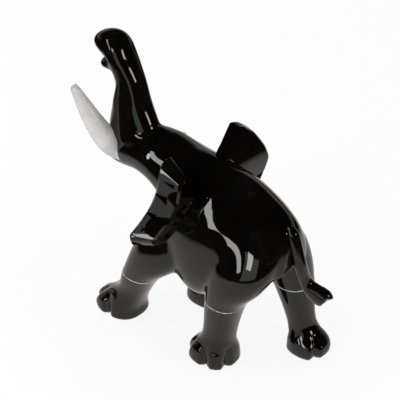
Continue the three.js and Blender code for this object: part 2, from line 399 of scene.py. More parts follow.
@dataclass(frozen=True)
class Leg:
    """One leg: where it stands, and how far forward its knee and top are."""

    end: str
    side: Side
    sole: float
    knee: float
    top: float
    foot: float
    toes: tuple = ()
    sizes: LegSizes = field(default_factory=LegSizes)

    @property
    def name(self) -> str:
        """The leg's name, such as front_left."""
        return f"{self.end}_{self.side.word}"

    @property
    def seam(self) -> float:
        """Height of the glued seam."""
        return self.sizes.front_seam if self.end == "front" else self.sizes.rear_seam

    @property
    def left(self) -> float:
        """Distance of the leg to the left of the middle plane."""
        return self.side.value * self.sizes.track / 2

    def form(self) -> Form:
        """The whole leg's form, from inside the torso to the sole.

        Returns:
            The form.
        """
        s = self.sizes
        ankle = s.foot_height * 1.4
        ankle_forward = self.sole + (self.knee - self.sole) * ankle / self.seam
        wide = s.ankle_width
        high = self.top * 0.85 + self.knee * 0.15
        foot_wide = s.foot_width * self.foot
        foot_long = s.foot_length * self.foot
        return Form([
            Station(self.top, self.left * 0.5, self.seam + 32, wide * 1.1, wide * 1.5, 2.2),
            Station(high, self.left * 0.74, self.seam + 20, wide * 1.45, wide * 2, 2.2),
            Station((self.top + self.knee) / 2, self.left * 0.92, self.seam + 10,
                    wide * 1.38, wide * 1.75, 2.3),
            Station(self.knee, self.left, self.seam, wide * 1.15, wide * 1.2, 2.3),
            Station(ankle_forward, self.left, ankle, wide * self.foot, wide * self.foot, 2.3),
            Station(self.sole, self.left, s.foot_height * 0.55, foot_wide * 0.96, foot_long * 0.96, 2.4),
            Station(self.sole, self.left, 0, foot_wide, foot_long, 2.4),
        ], DOWN)

    def grid(self, low: float, high: Optional[float], rings: int, sides: int,
             grow: float = 0) -> np.ndarray:
        """Works out the points of the stretch of the leg between two heights.

        Args:
            low: Height of its lower end; below the ground, the sole is stretched down to it.
            high: Height of its upper end, or None for its top.
            rings: Number of sections.
            sides: Number of points round it.
            grow: How far outside the skin the points lie.

        Returns:
            The points, as rings by sides by 3.
        """
        form = self.form()
        samples = np.linspace(0, 1, SAMPLES)
        heights = form.through(form.middles, samples)[:, 2]
        top = heights.max() if high is None else high
        levels = np.linspace(top, max(low, 0), rings)
        shares = np.interp(-levels, -heights, samples)
        grid_shares, angles = np.meshgrid(shares, np.arange(sides) / sides * math.tau, indexing="ij")
        grid = form.skin(grid_shares, angles, grow)
        if low < 0:
            grid[-1, :, 2] = low
        return grid


LEGS = (
    Leg("front", Side.LEFT, 23.5, 12.5, -1.5, 1, (-25, 30, 88)),
    Leg("front", Side.RIGHT, 1.5, 3, -1, 0.9, (25, -30, -85)),
    Leg("rear", Side.LEFT, -23.5, -29, -37, 0.97, (-25, 35, 103, 160)),
    Leg("rear", Side.RIGHT, -47.5, -39.5, -31, 0.82, (25, -35, -90, 150)),
)


@dataclass(frozen=True)
class EarSizes:
    """Sizes of one ear, in millimetres.

    The marks run along its outline, as shares of the span and of the height. Each fold is
    where it starts and ends, out and up from the root, with its width and its depth.
    """

    thickness: float
    chamfer: float
    back: float
    lean: float
    marks: tuple
    folds: tuple = ()
    bevel: float = 1
    span: float = 33
    crown: float = 0.6
    curl: float = 2
    height: float = 29
    root_up: float = 63
    root_inset: float = 5
    sweep: float = 1


EARS = {
    Side.LEFT: EarSizes(
        thickness=8, chamfer=3.8, back=5.8, lean=-4,
        marks=((0, -0.3), (0.34, -0.42), (0.63, -0.5), (0.88, -0.36), (0.95, -0.2),
               (0.76, 0.12), (0.64, 0.38), (0.54, 0.68), (0.4, 0.76), (0.2, 0.5), (0, 0.3)),
        folds=(((22, 17), (12.5, 12.5), 1.6, 0.8), ((22.5, 11.5), (11, 3), 3.2, 1.5),
               ((25, 4), (14, -4), 3.8, 1.7), ((28, -1.5), (17, -8.5), 4.2, 1.7),
               ((34, -5.5), (22, -14), 7.5, 2.4)),
    ),
    Side.RIGHT: EarSizes(
        thickness=4.2, chamfer=1.2, back=8.4, lean=5,
        marks=((0, -0.3), (0.3, -0.42), (0.62, -0.33), (0.74, -0.2), (0.81, 0),
               (0.75, 0.22), (0.6, 0.5), (0.48, 0.62), (0.36, 0.66), (0.15, 0.5), (0, 0.35)),
    ),
}


@dataclass(frozen=True)
class TuskSizes:
    """Sizes of one tusk, in millimetres."""

    length: float = 32
    thickness: float = 9
    peg_thickness: float = 6
    rise: float = 26.5
    spread: float = 9
    socket_depth: float = 6

    def form(self, head: HeadSizes, side: Side) -> Form:
        """The tusk's form, from its peg to its tip.

        Args:
            head: The head that it is glued into.
            side: Which tusk it is.

        Returns:
            The form.
        """
        root = (head.nape + head.length * 0.7, self.thickness / 2 + GLUE_GAP * 2,
                head.crown - head.height * 0.6)
        run = math.sqrt(max(self.length**2 - self.rise**2 - self.spread**2, 1))
        table = (
            (-self.socket_depth, 0, -0.5, self.peg_thickness),
            (0, 0, 0, (self.peg_thickness + self.thickness) / 2),
            (run * 0.32, self.spread * 0.22, self.rise * 0.13, self.thickness),
            (run * 0.66, self.spread * 0.55, self.rise * 0.47, self.thickness * 0.82),
            (run * 0.95, self.spread * 0.93, self.rise * 0.93, self.thickness * 0.42),
            (run, self.spread, self.rise, self.thickness * 0.25),
        )
        return Form([Station(root[0] + along, side.value * (root[1] + out), root[2] + up, thick, thick)
                     for along, out, up, thick in table])


@dataclass(frozen=True)
class EyeSizes:
    """Sizes of one eye bead, in millimetres; turn is in radians round the head."""

    diameter: float = 2.2
    sink: float = 0.5
    along: float = 0.345
    turn: float = 0.56

    def place(self, head: HeadSizes, side: Side) -> np.ndarray:
        """The bead's middle on the head's skin.

        Args:
            head: The head that it is set into.
            side: Which eye it is.

        Returns:
            The point, in millimetres.
        """
        angle = self.turn if side is Side.LEFT else math.pi - self.turn
        return head.form().skin(np.array([self.along]), np.array([angle]), -self.sink)[0]


@dataclass(frozen=True)
class TailSizes:
    """Sizes of the tail, in millimetres."""

    width: float = 5
    depth: float = 4.5
    drop: float = 20
    lean: float = 5
    tuft_length: float = 8
    tuft_width: float = 6
    tuft_depth: float = 8

    def form(self, torso: TorsoSizes) -> Form:
        """The tail's form, from the rump to its tuft.

        Args:
            torso: The torso that it hangs from.

        Returns:
            The form.
        """
        rump = torso.form()
        tops = rump.skin(np.array([0.84, 0.9, 0.97]), np.full(3, -math.pi / 2), 0.0)
        outs = np.array([-0.5, 0.4, 0.6])
        tops = tops + outs[:, None] * UP
        end, end_up = -rump.middles[-1][1], rump.skin(np.array([1.0]), np.array([-math.pi / 2]))[0][2]
        w, d, drop, lean = self.width, self.depth, self.drop, self.lean
        stations = [Station(-p[1], 0, p[2], w * k, d * k) for p, k in zip(tops, (0.5, 0.8, 1))]
        stations += [
            Station(end - 2, -lean * 0.2, end_up - drop * 0.45, w, d),
            Station(end - 3, -lean * 0.7, end_up - drop * 0.9, w, d),
            Station(end - 3 - self.tuft_length * 0.4, -lean, end_up - drop - 2.5,
                    self.tuft_width, self.tuft_depth),
            Station(end - 3 - self.tuft_length * 0.9, -lean * 1.2, end_up - drop - 4,
                    self.tuft_width, self.tuft_depth * 0.9),
            Station(end - 3 - self.tuft_length, -lean * 1.2, end_up - drop - 4.5,
                    self.tuft_width * 0.6, self.tuft_depth * 0.5),
        ]
        return Form(stations)


# ------------------------------------------------------------------ workshop


class Workshop:
    """Turns shells into Blender meshes, joins them, cuts them and smooths them."""

    def __init__(self) -> None:
        """Finds how far the plan's origin lies from the frame's."""
        bead = EyeSizes().place(HeadSizes(), Side.LEFT)
        low, high = (np.array(corner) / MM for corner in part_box("eye_left"))
        self.shift = (low + high) / 2 - bead
        self.shift[2] = 0.0

    @staticmethod
    def rough(name: str, shell: Shell) -> bpy.types.Object:
        """Makes an object whose mesh is in millimetres.

        Args:
            name: The object's name.
            shell: Its surface.

        Returns:
            The object, linked to the scene.
        """
        mesh = bpy.data.meshes.new(name)
        mesh.from_pydata(shell.corners.tolist(), [], shell.faces)
        mesh.validate()
        rough = bpy.data.objects.new(name, mesh)
        bpy.context.scene.collection.objects.link(rough)
        return rough

    @staticmethod
    def bake(rough: bpy.types.Object) -> bpy.types.Object:
        """Applies an object's modifiers to its mesh.

        Args:
            rough: The object.

        Returns:
            The same object.
        """
        graph = bpy.context.evaluated_depsgraph_get()
        mesh = bpy.data.meshes.new_from_object(rough.evaluated_get(graph))
        old = rough.data
        rough.modifiers.clear()
        rough.data = mesh
        bpy.data.meshes.remove(old)
        return rough

    def melt(self, rough: bpy.types.Object, voxel: float) -> bpy.types.Object:
        """Joins overlapping shells into one skin.

        Args:
            rough: The object whose shells overlap.
            voxel: Grain of the new skin, in millimetres.

        Returns:
            The same object.
        """
        remesh = rough.modifiers.new("melt", "REMESH")
        remesh.mode = "VOXEL"
        remesh.voxel_size = voxel
        remesh.adaptivity = 0
        return self.bake(rough)

    def cut(self, rough: bpy.types.Object, cutter: Shell) -> bpy.types.Object:
        """Takes closed shells away from an object.

        Args:
            rough: The object to cut.
            cutter: The shells.

        Returns:
            The same object.
        """
        tool = self.rough("cutter", cutter)
        boolean = rough.modifiers.new("cut", "BOOLEAN")
        boolean.operation = "DIFFERENCE"
        boolean.solver = "EXACT"
        boolean.object = tool
        self.bake(rough)
        mesh = tool.data
        bpy.data.objects.remove(tool)
        bpy.data.meshes.remove(mesh)
        return rough

    def seat(self, rough: bpy.types.Object, base: bpy.types.Object) -> bpy.types.Object:
        """Cuts a piece to sit closely on another.

        Args:
            rough: The piece to cut.
            base: What it is glued to, also in millimetres.

        Returns:
            The piece.
        """
        corners = np.empty(len(base.data.vertices) * 3)
        base.data.vertices.foreach_get("co", corners)
        normals = np.empty_like(corners)
        base.data.vertex_normals.foreach_get("vector", normals)
        points = (corners + normals * GLUE_GAP / 3).reshape(-1, 3)
        faces = [tuple(face.vertices) for face in base.data.polygons]
        return self.cut(rough, Shell(points, faces))

    @staticmethod
    def smooth(mesh: bpy.types.Mesh, rounds: int, crease_rounds: int, spread: int,
               blends: tuple = ()) -> None:
        """Polishes a fine mesh, and melts its inner creases further.

        Args:
            mesh: The mesh to smooth.
            rounds: Rounds of light smoothing all over.
            crease_rounds: Rounds of smoothing near the inner creases.
            spread: How many edges wide a crease's neighbourhood is.
            blends: Places to even out, each a middle and a reach in millimetres.
        """
        count = len(mesh.vertices)
        points = np.empty(count * 3)
        mesh.vertices.foreach_get("co", points)
        points = points.reshape(-1, 3)
        normals = np.empty(count * 3)
        mesh.vertex_normals.foreach_get("vector", normals)
        normals = normals.reshape(-1, 3)
        ends = np.empty(len(mesh.edges) * 2, int)
        mesh.edges.foreach_get("vertices", ends)
        a, b = ends.reshape(-1, 2).T
        near = np.bincount(a, minlength=count) + np.bincount(b, minlength=count)

        def mean(values: np.ndarray) -> np.ndarray:
            """The mean of every corner's neighbours.

            Args:
                values: One row for each corner.

            Returns:
                One row for each corner.
            """
            total = np.empty_like(values)
            for k in range(values.shape[1]):
                column = values[:, k]
                total[:, k] = (np.bincount(a, column[b], count) + np.bincount(b, column[a], count))
            return total / near[:, None]

        for _ in range(SETTLE_ROUNDS):
            points = points + LIGHT_STEP * (mean(points) - points)
        hollow = ((mean(points) - points) * normals).sum(axis=1)
        mask = np.clip(hollow * CREASE_GAIN - CREASE_FLOOR, 0, 1)[:, None]
        for _ in range(spread):
            mask = np.maximum(mask, mean(mask) * CREASE_SPREAD)
        mask = np.clip(mask * CREASE_REACH, 0, 1)
        even = np.zeros_like(mask)
        for middle, reach in blends:
            away = np.linalg.norm(points - np.array(middle), axis=1, keepdims=True)
            even = np.maximum(even, np.clip(BLEND_EDGE - BLEND_EDGE * away / reach, 0, 1))
        for _ in range(EVEN_ROUNDS if blends else 0):
            points = points + FIRM_STEP * even * (mean(points) - points)
        for _ in range(crease_rounds):
            points = points + FIRM_STEP * mask * (mean(points) - points)
        for _ in range(rounds):
            points = points + LIGHT_STEP * (mean(points) - points)
        mesh.vertices.foreach_set("co", points.ravel())
        mesh.update()

    def finish(self, rough: bpy.types.Object, name: str, material: bpy.types.Material,
               sharp: float = 34.0) -> bpy.types.Object:
        """Turns a rough object into a finished piece.

        Args:
            rough: The object, whose mesh is in millimetres.
            name: The piece's name.
            material: Its finish.
            sharp: Edges that turn by more than this many degrees stay crisp.

        Returns:
            The piece, in metres in the frame.
        """
        mesh = rough.data
        mesh.transform(Matrix.Diagonal((MM, MM, MM, 1)) @ Matrix.Translation(Vector(self.shift)))
        mesh.polygons.foreach_set("use_smooth", [True] * len(mesh.polygons))
        mesh.set_sharp_from_angle(angle=math.radians(sharp))
        mesh.materials.clear()
        mesh.materials.append(material)
        mesh.name = name
        rough.name = name
        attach(rough, "root")
        log.info("%s: %d faces", name, len(mesh.polygons))
        return rough


# ------------------------------------------------------------------ finishes


class Tree:
    """A node tree that is written from its inputs to its surface."""

    def __init__(self, owner: bpy.types.ID) -> None:
        """Empties the tree of a material or world.

        Args:
            owner: The material or world.
        """
        owner.use_nodes = True
        self.owner = owner
        self.nodes = owner.node_tree.nodes
        self.links = owner.node_tree.links
        self.nodes.clear()

    def node(self, kind: str, inputs: Optional[dict] = None, **settings: object) -> bpy.types.Node:
        """Adds a node.

        Args:
            kind: The node's type, without its ShaderNode prefix.
            inputs: Values, nodes or sockets for its inputs, by index or name.
            settings: The node's own settings.

        Returns:
            The node.
        """
        made = self.nodes.new(f"ShaderNode{kind}")
        for key, value in settings.items():
            setattr(made, key, value)
        for key, value in (inputs or {}).items():
            self.feed(made.inputs[key], value)
        return made

    def feed(self, socket: bpy.types.NodeSocket, value: object) -> None:
        """Links or sets one input.

        Args:
            socket: The input.
            value: A node, a socket or a plain value.
        """
        if isinstance(value, bpy.types.Node):
            value = value.outputs[0]
        if isinstance(value, bpy.types.NodeSocket):
            self.links.new(value, socket)
        else:
            socket.default_value = value

    def mix(self, share: object, first: object, second: object) -> bpy.types.NodeSocket:
        """Mixes two numbers by a share."""
        return self.node("Mix", {0: share, 2: first, 3: second}, data_type="FLOAT").outputs[0]

    def blend(self, share: object, first: object, second: object) -> bpy.types.NodeSocket:
        """Mixes two colours by a share."""
        return self.node("Mix", {0: share, 6: first, 7: second}, data_type="RGBA").outputs[2]

    def fade(self, value: object, start: float, stop: float, low: float, high: float) -> bpy.types.NodeSocket:
        """Turns a value that runs from start to stop into one from low to high, smoothly."""
        return self.node("MapRange", {0: value, 1: start, 2: stop, 3: low, 4: high},
                         interpolation_type="SMOOTHSTEP").outputs[0]

    def surface(self, shader: bpy.types.Node) -> None:
        """Ends the tree in its material's or world's surface.

        Args:
            shader: The last shader.
        """
        world = isinstance(self.owner, bpy.types.World)
        out = self.nodes.new("ShaderNodeOutputWorld" if world else "ShaderNodeOutputMaterial")
        self.links.new(shader.outputs[0], out.inputs["Surface"])


class EffectGroup(Tree):
    """A shader node group with named inputs and outputs."""

    def __init__(self, name: str, inputs: dict, outputs: dict) -> None:
        """Makes the group's sockets.

        Args:
            name: The group's name.
            inputs: Socket name to starting value; the values are numbers.
            outputs: Socket name to socket type.
        """
        self.group = bpy.data.node_groups.new(name, "ShaderNodeTree")
        self.nodes = self.group.nodes
        self.links = self.group.links
        for socket_name, value in inputs.items():
            socket = self.group.interface.new_socket(socket_name, in_out="INPUT",
                                                     socket_type="NodeSocketFloat")
            socket.default_value = value
        for socket_name, kind in outputs.items():
            self.group.interface.new_socket(socket_name, in_out="OUTPUT", socket_type=kind)
        self.given = self.nodes.new("NodeGroupInput")
        self.result = self.nodes.new("NodeGroupOutput")

    def place(self, tree: Tree, values: dict) -> bpy.types.Node:
        """Puts the group into a material.

        Args:
            tree: The material's tree.
            values: Values or sockets for the group's inputs.

        Returns:
            The group's node.
        """
        made = tree.nodes.new("ShaderNodeGroup")
        made.node_tree = self.group
        for key, value in values.items():
            tree.feed(made.inputs[key], value)
        return made


def clouds_group() -> EffectGroup:
    """Soft clouding and thin healed cracks that run through a stone.

    Returns:
        A group with outputs Cloud and Vein, both masks from 0 to 1.
    """
    g = EffectGroup("stone_clouds", {"Scale": 60.0, "Vein Width": 0.02, "Seed": 0.0},
                    {"Cloud": "NodeSocketFloat", "Vein": "NodeSocketFloat"})
    place = g.node("TexCoord").outputs["Object"]
    moved = g.node("VectorMath", {0: place, 1: g.given.outputs["Seed"]}, operation="ADD")
    cloud = g.node("TexNoise", {"Vector": moved, "Scale": g.given.outputs["Scale"], "Detail": 6.0,
                                "Roughness": 0.6, "Distortion": 0.4})
    g.feed(g.result.inputs["Cloud"], g.fade(cloud.outputs[0], 0.38, 0.68, 0.0, 1.0))
    flow = g.node("TexNoise", {"Vector": moved, "Scale": g.given.outputs["Scale"], "Detail": 3.0,
                               "Roughness": 0.5, "Distortion": 1.2})
    middle = g.node("Math", {0: flow.outputs[0], 1: 0.5}, operation="SUBTRACT")
    away = g.node("Math", {0: middle}, operation="ABSOLUTE")
    share = g.node("Math", {0: away, 1: g.given.outputs["Vein Width"]}, operation="DIVIDE")
    thin = g.fade(share, 0.0, 1.0, 1.0, 0.0)
    broken = g.node("Math", {0: thin, 1: g.fade(cloud.outputs[0], 0.5, 0.62, 0.0, 1.0)},
                    operation="MULTIPLY")
    g.feed(g.result.inputs["Vein"], broken)
    return g


def polish_group() -> EffectGroup:
    """What polishing leaves on hard stone: hairline scratches, pits and a faint ripple.

    Returns:
        A group with outputs Height, in metres, and Dull, a mask from 0 to 1.
    """
    g = EffectGroup("polish_marks", {"Scratch Scale": 220.0, "Ripple Scale": 90.0, "Depth": 1.0},
                    {"Height": "NodeSocketFloat", "Dull": "NodeSocketFloat"})
    place = g.node("TexCoord").outputs["Object"]
    total = None
    for turn, stretch in ((0.5, 18.0), (1.9, 24.0)):
        spun = g.node("Mapping", {"Vector": place, "Rotation": (turn, turn * 0.7, turn * 1.3),
                                  "Scale": (1.0, stretch, stretch)})
        hair = g.node("TexNoise", {"Vector": spun, "Scale": g.given.outputs["Scratch Scale"],
                                   "Detail": 2.0, "Roughness": 0.7})
        line = g.fade(hair.outputs[0], 0.7, 0.82, 0.0, 1.0)
        total = line if total is None else g.node("Math", {0: total, 1: line}, operation="MAXIMUM")
    pits = g.node("TexNoise", {"Vector": place, "Scale": 900.0, "Detail": 2.0})
    pit = g.fade(pits.outputs[0], 0.72, 0.8, 0.0, 1.0)
    marks = g.node("Math", {0: total, 1: pit}, operation="MAXIMUM")
    ripple = g.node("TexNoise", {"Vector": place, "Scale": g.given.outputs["Ripple Scale"], "Detail": 1.0})
    low = g.node("Math", {0: marks, 1: -0.0000012}, operation="MULTIPLY")
    high = g.node("Math", {0: ripple.outputs[0], 1: 0.00003, 2: low}, operation="MULTIPLY_ADD")
    g.feed(g.result.inputs["Height"],
           g.node("Math", {0: high, 1: g.given.outputs["Depth"]}, operation="MULTIPLY"))
    g.feed(g.result.inputs["Dull"], marks)
    return g


def edge_group() -> EffectGroup:
    """Edges that handling has rubbed, and hollows that keep polishing paste.

    Returns:
        A group with outputs Rubbed and Hollow, both masks from 0 to 1.
    """
    g = EffectGroup("rubbed_edges", {"Amount": 1.0},
                    {"Rubbed": "NodeSocketFloat", "Hollow": "NodeSocketFloat"})
    bend = g.node("NewGeometry").outputs["Pointiness"]
    place = g.node("TexCoord").outputs["Object"]
    patch = g.node("TexNoise", {"Vector": place, "Scale": 160.0, "Detail": 3.0})
    rubbed = g.node("Math", {0: g.fade(bend, 0.53, 0.62, 0.0, 1.0), 1: patch.outputs[0]},
                    operation="MULTIPLY")
    hollow = g.node("Math", {0: g.fade(bend, 0.47, 0.4, 0.0, 1.0), 1: patch.outputs[0]},
                    operation="MULTIPLY")
    for name, mask in (("Rubbed", rubbed), ("Hollow", hollow)):
        g.feed(g.result.inputs[name],
               g.node("Math", {0: mask, 1: g.given.outputs["Amount"]}, operation="MULTIPLY"))
    return g


@dataclass(frozen=True)
class Effects:
    """The node groups that the finishes share."""

    clouds: EffectGroup
    polish: EffectGroup
    edges: EffectGroup


@dataclass(frozen=True)
class BlackStone:
    """Black stone polished to a mirror."""

    name: str = "polished_black_stone"
    black: tuple = (0.0012, 0.0009, 0.0008, 1)
    brown: tuple = (0.0032, 0.002, 0.0014, 1)
    vein: tuple = (0.03, 0.026, 0.024, 1)
    paste: tuple = (0.03, 0.025, 0.022, 1)
    polish: Polish = Polish.MIRROR

    def material(self, effects: Effects) -> bpy.types.Material:
        """Builds the material.

        Args:
            effects: The shared node groups.

        Returns:
            The material.
        """
        tree = Tree(bpy.data.materials.new(self.name))
        clouds = effects.clouds.place(tree, {"Scale": 55.0, "Vein Width": 0.006, "Seed": 3.7})
        marks = effects.polish.place(tree, {"Depth": 1.0})
        edges = effects.edges.place(tree, {"Amount": 0.8})
        colour = tree.blend(clouds.outputs["Cloud"], self.black, self.brown)
        veined = tree.node("Math", {0: clouds.outputs["Vein"], 1: 0.35}, operation="MULTIPLY")
        colour = tree.blend(veined, colour, self.vein)
        pasty = tree.node("Math", {0: edges.outputs["Hollow"], 1: 0.5}, operation="MULTIPLY")
        colour = tree.blend(pasty, colour, self.paste)
        worn = tree.node("Math", {0: marks.outputs["Dull"], 1: 0.10, 2: self.polish.value},
                         operation="MULTIPLY_ADD")
        rough = tree.node("Math", {0: edges.outputs["Rubbed"], 1: 0.05, 2: worn}, operation="MULTIPLY_ADD")
        bump = tree.node("Bump", {"Height": marks.outputs["Height"], "Distance": 1.0, "Strength": 1.0})
        tree.surface(tree.node("BsdfPrincipled", {
            "Base Color": colour, "Roughness": rough, "Normal": bump, "IOR": 1.52}))
        return tree.owner


@dataclass(frozen=True)
class TuskCrystal:
    """Cloudy pale crystal, polished and let through by light."""

    name: str = "pale_crystal"
    clear: tuple = (0.82, 0.81, 0.79, 1)
    milky: tuple = (0.7, 0.67, 0.65, 1)
    polish: Polish = Polish.BRIGHT

    def material(self, effects: Effects) -> bpy.types.Material:
        """Builds the material.

        Args:
            effects: The shared node groups.

        Returns:
            The material.
        """
        tree = Tree(bpy.data.materials.new(self.name))
        clouds = effects.clouds.place(tree, {"Scale": 85.0, "Vein Width": 0.03, "Seed": 9.1})
        marks = effects.polish.place(tree, {"Depth": 1.0})
        colour = tree.blend(clouds.outputs["Cloud"], self.clear, self.milky)
        rough = tree.node("Math", {0: clouds.outputs["Vein"], 1: 0.12, 2: self.polish.value},
                          operation="MULTIPLY_ADD")
        bump = tree.node("Bump", {"Height": marks.outputs["Height"], "Distance": 1.0, "Strength": 1.0})
        tree.surface(tree.node("BsdfPrincipled", {
            "Base Color": colour, "Roughness": rough, "Normal": bump, "IOR": 1.3,
            "Transmission Weight": 0.4}))
        return tree.owner


@dataclass(frozen=True)
class Glue:
    """The pale film of glue in a seam, yellowed and broken here and there, with a faint glow painted on so it
    shows pale whatever the light.
    """

    name: str = "glue_film"
    fresh: tuple = (0.62, 0.55, 0.54, 1)
    dirty: tuple = (0.12, 0.1, 0.1, 1)
    polish: Polish = Polish.GROUND

    def material(self, effects: Effects) -> bpy.types.Material:
        """Builds the material.

        Args:
            effects: The shared node groups.

        Returns:
            The material.
        """
        tree = Tree(bpy.data.materials.new(self.name))
        clouds = effects.clouds.place(tree, {"Scale": 260.0, "Vein Width": 0.05, "Seed": 5.0})
        colour = tree.blend(clouds.outputs["Cloud"], self.fresh, self.dirty)
        # Painted light: the glue's own colour is also emitted faintly, so the seam glows pale even where it
        # lies in shade.
        tree.surface(tree.node("BsdfPrincipled", {
            "Base Color": colour, "Roughness": self.polish.value, "Emission Color": colour,
            "Emission Strength": 0.18}))
        return tree.owner


@dataclass(frozen=True)
class BeadGlass:
    """Opaque pale glass of the eye beads."""

    name: str = "bead_glass"
    white: tuple = (0.78, 0.79, 0.8, 1)
    grey: tuple = (0.42, 0.44, 0.48, 1)
    polish: Polish = Polish.BRIGHT

    def material(self, effects: Effects) -> bpy.types.Material:
        """Builds the material.

        Args:
            effects: The shared node groups.

        Returns:
            The material.
        """
        tree = Tree(bpy.data.materials.new(self.name))
        clouds = effects.clouds.place(tree, {"Scale": 400.0, "Vein Width": 0.05, "Seed": 1.3})
        edges = effects.edges.place(tree, {"Amount": 1.0})
        colour = tree.blend(clouds.outputs["Cloud"], self.white, self.grey)
        rough = tree.node("Math", {0: edges.outputs["Hollow"], 1: 0.2, 2: self.polish.value},
                          operation="MULTIPLY_ADD")
        tree.surface(tree.node("BsdfPrincipled", {"Base Color": colour, "Roughness": rough, "IOR": 1.5}))
        return tree.owner


# ------------------------------------------------------------------ pieces


@dataclass
class CarvedBlock:
    """Torso, head, trunk, jaw and upper legs, carved from one stone."""

    torso: TorsoSizes = field(default_factory=TorsoSizes)
    head: HeadSizes = field(default_factory=HeadSizes)
    trunk: TrunkSizes = field(default_factory=TrunkSizes)
    voxel: float = 0.52
    stub: float = 1.2
    cut_margin: float = 0.5
    polish_rounds: int = 10
    crease_rounds: int = 70
    crease_width: int = 6
    finest: tuple = (120, 120)
    fine: tuple = (90, 72)
    coarse: tuple = (60, 56)
    socket: tuple = (40, 32)
    blends: tuple = (((9, 5, 73), 17), ((-9, 5, 73), 17), ((14, 37, 60), 15), ((-14, 33, 60), 15))

    def forms(self) -> list[Form]:
        """The block's forms without its legs."""
        return [self.torso.form(), self.head.form(), self.trunk.form(self.head.crown),
                self.trunk.finger(), self.head.jaw()]

    def build(self, shop: Workshop) -> bpy.types.Object:
        """Carves the block, with its sockets and its glue faces.

        Args:
            shop: The workshop.

        Returns:
            The rough object, in millimetres.
        """
        shell = self.forms()[0].shell(*self.finest)
        for form in self.forms()[1:]:
            shell = shell.joined(form.shell(*self.fine))
        for leg in LEGS:
            shell = shell.joined(Shell.rings(leg.grid(leg.seam - self.stub, None, *self.fine)))
        rough = shop.melt(shop.rough("block", shell), self.voxel)
        shop.smooth(rough.data, self.polish_rounds, self.crease_rounds, self.crease_width, self.blends)
        cutter = None
        for leg in LEGS:
            piece = Shell.rings(leg.grid(-2, leg.seam + GLUE_GAP / 2, *self.coarse, self.cut_margin))
            cutter = piece if cutter is None else cutter.joined(piece)
        for side in Side:
            cutter = cutter.joined(TuskSizes().form(self.head, side).shell(*self.socket, GLUE_GAP))
        return shop.cut(rough, cutter)

    def dress(self, shop: Workshop, rough: bpy.types.Object, stone: bpy.types.Material) -> None:
        """Polishes the block and sets it in its place.

        Args:
            shop: The workshop.
            rough: The rough block.
            stone: The stone's material.
        """
        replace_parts(shop.finish(rough, "carved_block", stone), "body")


@dataclass
class LowerLeg:
    """One glued-on lower leg with its toes, and the film of glue on top of it."""

    leg: Leg
    toe_gap: float = 2.6
    toe_cut: float = 2.2
    glue_inset: float = 0.04
    rings: int = 110
    sides: int = 176
    toe_rise: float = 1.05
    toe_fade: float = 0.6
    sole_round: float = 1.6
    sole_tuck: float = 0.9
    film_share: float = 0.8

    def build(self, shop: Workshop) -> bpy.types.Object:
        """Carves the leg and its toes.

        Args:
            shop: The workshop.

        Returns:
            The rough object, in millimetres.
        """
        grid = self.leg.grid(0, self.leg.seam - GLUE_GAP / 2, self.rings, self.sides)
        centre = np.array([self.leg.left, -self.leg.sole])
        arms = grid[..., :2] - centre
        reach = np.linalg.norm(arms, axis=-1)
        turn = np.degrees(np.arctan2(arms[..., 0], -arms[..., 1]))
        height = grid[..., 2]
        foot_top = self.leg.sizes.foot_height
        low = np.clip(1 - height / (foot_top * self.toe_rise), 0, 1) ** self.toe_fade
        bite = np.zeros_like(reach)
        for toe in self.leg.toes:
            off = np.radians((turn - toe + 180) % 360 - 180) * reach
            bite = np.maximum(bite, np.clip(1 - np.abs(off) / self.toe_gap, 0, 1))
        under = np.clip(1 - height / self.sole_round, 0, 1) ** 2 * self.sole_tuck
        scale = 1 - (bite * self.toe_cut * low + under) / np.maximum(reach, 1)
        grid[..., :2] = centre + arms * scale[..., None]
        middle = grid[0].mean(axis=0)
        inner = middle + (grid[0] - middle) * (1 - self.glue_inset / self.leg.sizes.ankle_width)
        film = inner + UP * GLUE_GAP * self.film_share
        return shop.rough("leg", Shell.rings(np.vstack([[film, inner], grid])))

    def dress(self, shop: Workshop, rough: bpy.types.Object, stone: bpy.types.Material,
              glue: bpy.types.Material) -> None:
        """Polishes the leg, gives the film of glue its own finish and sets it in its place.

        Args:
            shop: The workshop.
            rough: The rough leg.
            stone: The stone's material.
            glue: The glue's material.
        """
        name = f"lower_leg_{self.leg.name}"
        piece = shop.finish(rough, f"carved_{name}", stone)
        piece.data.materials.append(glue)
        level = (self.leg.seam - GLUE_GAP / 2) * MM
        for face in piece.data.polygons:
            if face.center.z > level + GLUE_GAP * 0.1 * MM:
                face.material_index = 1
        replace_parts(piece, name)


